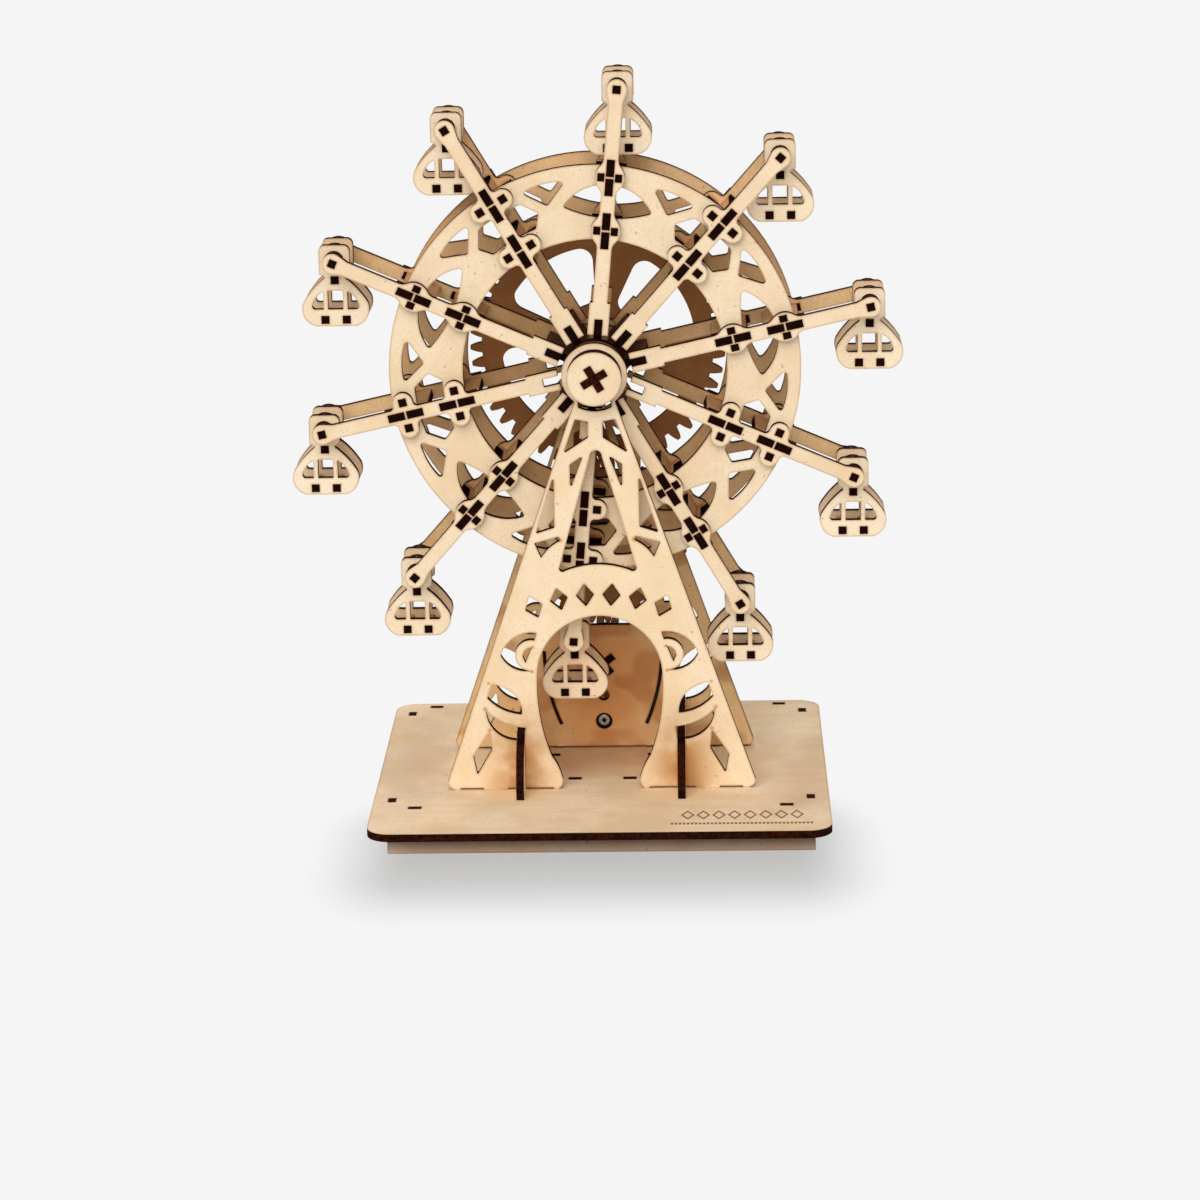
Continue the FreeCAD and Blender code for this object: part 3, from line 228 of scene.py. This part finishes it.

# Skirt and ribs
# Strips of reddish plywood on edge under the base plate. Their tabs come up through it and
# show as small charred oblongs; the plate rests on the strips' upper edges. The front strip is
# painted paler than the other strips, as painted light at its foot, and painted shade darkens
# it towards the plate that overhangs it.
skirt_ply, tree = new_material("reddish_ply_skirt")
# The front strip is painted paler than the other strips, as painted light at its foot.
face = sheet_face(tree, "#E8D0BC", "#D8BAA2", "#8A5A40", (0.16, 1.0, 1.6), 0.6)
# Painted shade: dark from just above the foot up to the overhanging plate.
painted_shade = ramp(tree, coordinate(tree, "Z"), 0.0, 5.6 * MM)
cut_edges(tree, tint(tree, face, "#2A130A", painted_shade, 0.9), (0, 1, 0))
dress(skirt_ply, ["base_skirt_front"])
REDDISH = ("#C98F6A", "#A86B48", "#7A4A30")
GRAIN_ALONG_X, GRAIN_ALONG_Y = (0.16, 1.0, 1.6), (1.0, 0.16, 1.6)
strip_ply, tree = new_material("reddish_ply_strips")
cut_edges(tree, sheet_face(tree, *REDDISH, GRAIN_ALONG_X, 0.7), (0, 1, 0))
dress(strip_ply, ["base_skirt_rear", "base_ribs"])
side_ply, tree = new_material("reddish_ply_sides")
cut_edges(tree, sheet_face(tree, *REDDISH, GRAIN_ALONG_Y, 0.7), (1, 0, 0))
dress(side_ply, ["base_skirt_sides"])


# Front tower
# Pale fibreboard cut in one piece, its tabs pushed into the base. The beam lingered at the
# sharp corners and burned them yellow; the face beside the tie plates is browned partly by
# smoke and partly by painted shade from the plates.
def scorched(tree, face, corners):
    """Yellow brown burns at corners given as x, height and reach, on both sides of x 0."""
    flat = add(tree, "CombineXYZ", {"X": maths(tree, "ABSOLUTE", coordinate(tree, "X")),
                                    "Z": coordinate(tree, "Z")})
    for x, height, reach in corners:
        gap = vector(tree, "DISTANCE", flat, (x, 0, height), out="Value")
        face = tint(tree, face, "#CC8420", ramp(tree, gap, reach, 0.0, soft=True), 0.85)
    return face


def smoke_and_shade_beside(tree, face, centre, low, high):
    """Smoke and painted shade up both sides of a plate standing at centre, gone by high."""
    gap = maths(tree, "SUBTRACT", maths(tree, "ABSOLUTE", coordinate(tree, "X")), centre)
    beside = ramp(tree, maths(tree, "ABSOLUTE", gap), 19 * MM, 1 * MM, soft=True)
    under = ramp(tree, coordinate(tree, "Z"), high, low, soft=True)
    smoke_and_shade = maths(tree, "MULTIPLY", beside, under)
    smoke_and_shade = maths(tree, "MULTIPLY", smoke_and_shade, patches(tree, 11 * MM, 0.1, 0.6))
    return tint(tree, face, "#B57C3C", smoke_and_shade, 0.85)


BOARD_FLECK = "#A87B4A"
TOWER_CORNERS = (mm(25.9, 65.5, 1.2), mm(44.3, 50.6, 1.5), mm(42.8, 42.1, 1.4),
                 mm(14.0, 117.5, 1.5), mm(25.5, 75.2, 1.1), mm(42.8, 61.0, 1.0))
tower_board, tree = new_material("fibreboard_tower")
face = sheet_face(tree, "#F7E2C3", "#EACC9F", BOARD_FLECK)
# Smoke and painted shade brown the face beside the tie plates.
face = smoke_and_shade_beside(tree, scorched(tree, face, TOWER_CORNERS), *mm(31, 30, 62))
cut_edges(tree, face, (0, 1, 0))
dress(tower_board, ["front_tower"])


# Rear tower
# Plywood, a little browner than the front one's board, with painted shade clouding the panel
# that closes its arch. Two lines are cut most of the way through it on both sides of the panel,
# and their floors are charred black; a black line of painted shade runs where the panel's foot
# meets the base.
BLACK_CHAR = "#140604"


def char_and_shade_in_grooves(tree, face):
    """Blackens narrow grooves and sockets: charred floors in board, painted shade in steel."""
    open_air = add(tree, "AmbientOcclusion", {"Distance": 1.5 * MM}, "AO", only_local=True,
                   samples=6)
    return tint(tree, face, BLACK_CHAR, ramp(tree, open_air, 0.97, 0.8), 0.97)


rear_ply, tree = new_material("orange_ply_rear")
face = sheet_face(tree, "#F4D5A4", "#DCAF76", "#8C5A32", (0.45, 1.0, 0.9), 0.5)
# Painted shade clouds the panel inside the arch.
face = painted_shading_cloud(tree, face, mm(0, 21, 44), mm(40, 60, 46), "#D89A60", 0.9)
blotches = patches(tree, 17 * MM, 0.5, 0.62, (0.8, 1.0, 1.0), 1.0, 0.3)
face = tint(tree, face, "#B06A38", blotches, 0.5)
# Painted shade: a black line where the panel's foot meets the base.
foot = ramp(tree, coordinate(tree, "Z"), 19 * MM, 18.5 * MM)
face = tint(tree, face, BLACK_CHAR, foot, 0.95)
cut_edges(tree, char_and_shade_in_grooves(tree, face), (0, 1, 0))
dress(rear_ply, ["rear_tower"])

# Stiffener
# Strip of the skirt's plywood screwed to the back of the rear panel, with painted shade
# blackening it round the screw, where it shows through the gap round the screw's head.
SCREW_Z = 29.2 * MM
stiffener_ply, tree = new_material("reddish_ply_stiffener")
face = sheet_face(tree, *REDDISH, GRAIN_ALONG_X, 0.7)
flat = vector(tree, "MULTIPLY", place_on(tree), (1, 0, 1))
gap = vector(tree, "DISTANCE", flat, (0, 0, SCREW_Z), out="Value")
# Painted shade: black round the screw, seen through the rear panel's hole.
painted_shade = ramp(tree, gap, 4.5 * MM, 3.5 * MM)
cut_edges(tree, tint(tree, face, BLACK_CHAR, painted_shade, 0.95), (0, 1, 0))
dress(stiffener_ply, ["panel_stiffener"])

# Stiffener's screw and nut
# Zinc plated steel, turned and rolled: a dull bluish grey, a little uneven. The screw goes
# through the stiffener behind the rear panel, and the panel has a hole for its head. The
# crank's pin is of the same steel.
zinc, tree = new_material("zinc_plated_steel")
wear = patches(tree, 1.1 * MM, 0.3, 0.7)
# Painted shade blackens the steel's socket and other narrow hollows.
steel = char_and_shade_in_grooves(tree, tint(tree, colour("#8D9094"), "#B4B6B8", wear, 1.0))
rough = maths(tree, "MULTIPLY_ADD", wear, 0.15, 0.32)
shader = add(tree, "BsdfPrincipled", {"Base Color": steel, "Metallic": 1.0, "Roughness": rough})
tree.links.new(shader, tree.nodes["Material Output"].inputs["Surface"])
dress(zinc, ["stiffener_screw", "stiffener_nut", "crank_pin"])

# Tie plates
# Fibreboard on edge between the towers, which straddle them in half lap slots; the viewer
# meets the charred front edge.
# The tie plates' board is painted paler than the tower's, as painted light on their sides.
tie_board, tree = new_material("fibreboard_tie")
cut_edges(tree, sheet_face(tree, "#FBE9C6", "#F0D5A6", BOARD_FLECK), (1, 0, 0))
dress(tie_board, ["tie_plate_left", "tie_plate_right"])

# Wheel's flat pieces
# Spokes, rims, hub discs, retaining discs and washers of the same pale fibreboard, held
# together by pegs and by the spacers between the two halves. The rear half is painted browner,
# as painted shade, most of all round the hub.
wheel_board, tree = new_material("fibreboard_wheel")
cut_edges(tree, sheet_face(tree, "#F5DFC0", "#E5C79C", BOARD_FLECK), (0, 1, 0))
dress(wheel_board, ["front_arms", "front_rim", "front_retaining_discs"])
# The rear half: a browner copy of the wheel's board, painted shade, darkest round the hub.
rear_board, tree = new_material("fibreboard_wheel_rear")
face = sheet_face(tree, "#F0CB9C", "#D8AC78", BOARD_FLECK)
face = painted_shading_cloud(tree, face, (0, 6 * MM, HUB_Z), mm(84, 70, 84), "#AE7C4A", 0.5)
cut_edges(tree, face, (0, 1, 0))
dress(rear_board, ["rear_arms", "rear_rim", "front_hub_disc", "rear_hub_disc",
                   "rear_retaining_disc", "axle_spacer_discs", "gondola_washers"])

# Spacers and hub plates
# Strips of the same board, painted browner as painted shade between the two halves, that run
# from the front half of the wheel to the rear one; in front only their charred ends show, as
# the black squares and crosses on each spoke. The hub plates lie close together and are dark
# all over.
PEG_CHAR, DARK_FLECK = "#1E0A05", "#8C6238"
# The spacers' browner colours are painted shade between the wheel's two halves.
SPACER_FACE = ("#D8A878", "#BA8454", DARK_FLECK)
radial_board, tree = new_material("fibreboard_spacer_radial")
cut_edges(tree, sheet_face(tree, *SPACER_FACE), "sideways", PEG_CHAR)
dress(radial_board, ["radial_spacers"])
hub_board, tree = new_material("fibreboard_hub_plate")
cut_edges(tree, sheet_face(tree, "#6A3A20", "#30140A", BLACK_CHAR), "sideways", PEG_CHAR)
dress(hub_board, ["hub_plates"])
cross_board, tree = new_material("fibreboard_spacer_cross")
cut_edges(tree, sheet_face(tree, *SPACER_FACE), "outward", PEG_CHAR)
dress(cross_board, ["cross_spacers", "gondola_pins"])

# Axles, pegs and bars
# Strips and square bars of board. The wheel's axle is two strips slotted into a cross, and
# the idler and the crank turn on two more such crosses.
AXLE_TILT = math.radians(-30)
ACROSS_A = (math.sin(AXLE_TILT), 0, math.cos(AXLE_TILT))
ACROSS_B = (math.cos(AXLE_TILT), 0, -math.sin(AXLE_TILT))
for name, thin in (("axle_strip_a", ACROSS_A), ("axle_strip_b", ACROSS_B)):
    strip_board, tree = new_material("fibreboard_" + name)
    cut_edges(tree, sheet_face(tree, "#D8B27C", "#BC8E58", DARK_FLECK), thin, "#3A150B")
    dress(strip_board, [name])
bar_board, tree = new_material("fibreboard_bar")
cut_edges(tree, sheet_face(tree, "#DCAE7C", "#BE8856", DARK_FLECK), (0, 0, 1), PEG_CHAR)
dress(bar_board, ["idler_axle", "crank_axle", "crank_pegs"]
      + [f"gondola_{i:02d}_bars" for i in range(1, 11)])

# Gears
# Fibreboard gears behind the rear tower, with their stop discs: a drive gear keyed on the
# wheel's axle, an idler, and the pinion that the crank turns. Their board is painted browner
# than the others as painted shade, with more painted shade over the lower part and on the
# faces turned towards the tower.
GEAR_FLECK = "#966A3E"
gear_board, tree = new_material("fibreboard_gear")
# The gear board's browner colours are painted shade behind the tower.
face = sheet_face(tree, "#D4A272", "#B47E50", GEAR_FLECK)
# Painted shade over the lower part of the gears.
face = painted_shading_cloud(tree, face, mm(8, 36, 150), mm(44, 60, 36), "#8A5630", 0.5)
# Painted shade on the faces turned towards the tower.
turned = add(tree, "SeparateXYZ", {0: tree.nodes["place"].outputs["Normal"]}, "Y")
face = tint(tree, face, "#7A4826", ramp(tree, turned, -0.4, -0.6), 0.5)
cut_edges(tree, face, (0, 1, 0))
dress(gear_board, ["drive_gear", "idler_gear", "crank_pinion", "idler_stop_discs",
                   "crank_stop_discs"])

# Crank
# Arm, spacer disc and a knob of four glued discs, all fibreboard, paler than the gears. The
# knob turns on a steel pin.
crank_board, tree = new_material("fibreboard_crank")
cut_edges(tree, sheet_face(tree, "#EBD0A3", "#D6B07A", GEAR_FLECK), (0, 1, 0))
dress(crank_board, ["crank_arm", "crank_spacer_disc", "crank_knob"])

# Gondolas
# Two bell shaped fibreboard panels each, the rear one painted browner as painted shade, with
# three square bars between them; they hang from square pins at the ends of the spokes. The
# lowest, in the arch, has a warm orange cast of painted light.
BETWEEN_PANELS_Y = -6 * MM
gondola_board, tree = new_material("fibreboard_gondola")
face = sheet_face(tree, "#FAE7CB", "#EBD0A8", BOARD_FLECK)
# Painted warm light on the lowest gondola, in the arch.
face = painted_shading_cloud(tree, face, mm(-6, -8, 76), mm(26, 40, 26), "#F2B87C", 0.4)
# Painted shade: the rear panel of each pair is browner.
rear_panel_shade = maths(tree, "GREATER_THAN", coordinate(tree, "Y"), BETWEEN_PANELS_Y)
cut_edges(tree, tint(tree, face, "#C4935F", rear_panel_shade, 0.35), (0, 1, 0))
dress(gondola_board, [f"gondola_{i:02d}_panels" for i in range(1, 11)])

# Floor
# A plain pale table top, far larger than the view. Its shadow is kept to a box in front of
# the base and fades out round it.
bpy.ops.mesh.primitive_plane_add(size=14.0, location=(0, 0, 0))
floor = bpy.context.object
floor.name = "floor"
table, tree = new_material("pale_table")
BACKDROP = "#F5F5F5"
SHADOW_MIDDLE, SHADOW_HALF = mm(0, -56, 0), mm(72, 19, 0)
SHADOW_FADE = 43 * MM
outside = vector(tree, "SUBTRACT", place_on(tree), SHADOW_MIDDLE)
outside = vector(tree, "SUBTRACT", vector(tree, "ABSOLUTE", outside), SHADOW_HALF)
outside = vector(tree, "MAXIMUM", outside, (0, 0, 0))
outside = vector(tree, "MULTIPLY", outside, (1.0, 0.66, 0))
gap = vector(tree, "LENGTH", outside, out="Value")
rays = add(tree, "LightPath").node.outputs
seen = maths(tree, "MAXIMUM", rays["Is Camera Ray"], rays["Is Glossy Ray"])
seen = maths(tree, "MAXIMUM", seen, rays["Is Transmission Ray"])
fade = maths(tree, "MULTIPLY", ramp(tree, gap, 0.0, SHADOW_FADE, soft=True), seen)
matt = add(tree, "BsdfDiffuse", {"Color": tint(tree, colour("#D2D4D7"), "#636363", seen, 1.0)})
lift = add(tree, "Emission", {"Strength": maths(tree, "MULTIPLY", seen, 0.49)})
matt = add(tree, "AddShader", {0: matt, 1: lift})
glow = add(tree, "Emission", {"Color": colour(BACKDROP), "Strength": 1.0})
surface = add(tree, "MixShader", {0: fade, 1: matt, 2: glow})
tree.links.new(surface, tree.nodes["Material Output"].inputs["Surface"])
floor.data.materials.append(table)


# Light
# Soft studio light from all round, a broad key in front, above and to the left, a weaker one
# high behind, which throws the shadow forward, and a faint warm fill from low in front. Past
# the floor's edge the camera sees the same pale backdrop.
def sun(name, turn, energy, spread, hex_code="#FFFFFF"):
    """Far lamp, turned and spread by so many degrees."""
    bpy.ops.object.light_add(type="SUN", rotation=radians(*turn))
    lamp = bpy.context.object
    lamp.name = name
    lamp.data.energy = energy
    lamp.data.angle = math.radians(spread)
    lamp.data.color = colour(hex_code)[:3]


world = bpy.data.worlds.new("studio")
world.use_nodes = True
bpy.context.scene.world = world
tree = world.node_tree
sky = tree.nodes["Background"]
sky.inputs["Color"].default_value = colour("#FFFFFF")
sky.inputs["Strength"].default_value = 0.38
seen = add(tree, "LightPath", out="Is Camera Ray")
glow = add(tree, "Background", {"Color": colour(BACKDROP), "Strength": 1.0})
both = add(tree, "MixShader", {0: seen, 1: sky.outputs["Background"], 2: glow})
tree.links.new(both, tree.nodes["World Output"].inputs["Surface"])
sun("key_light", (50, 0, -16), 1.9, 55)
sun("back_light", (-42, 0, 6), 0.9, 40)
sun("front_fill", (80, 0, 4), 0.4, 30, "#FFEAC8")
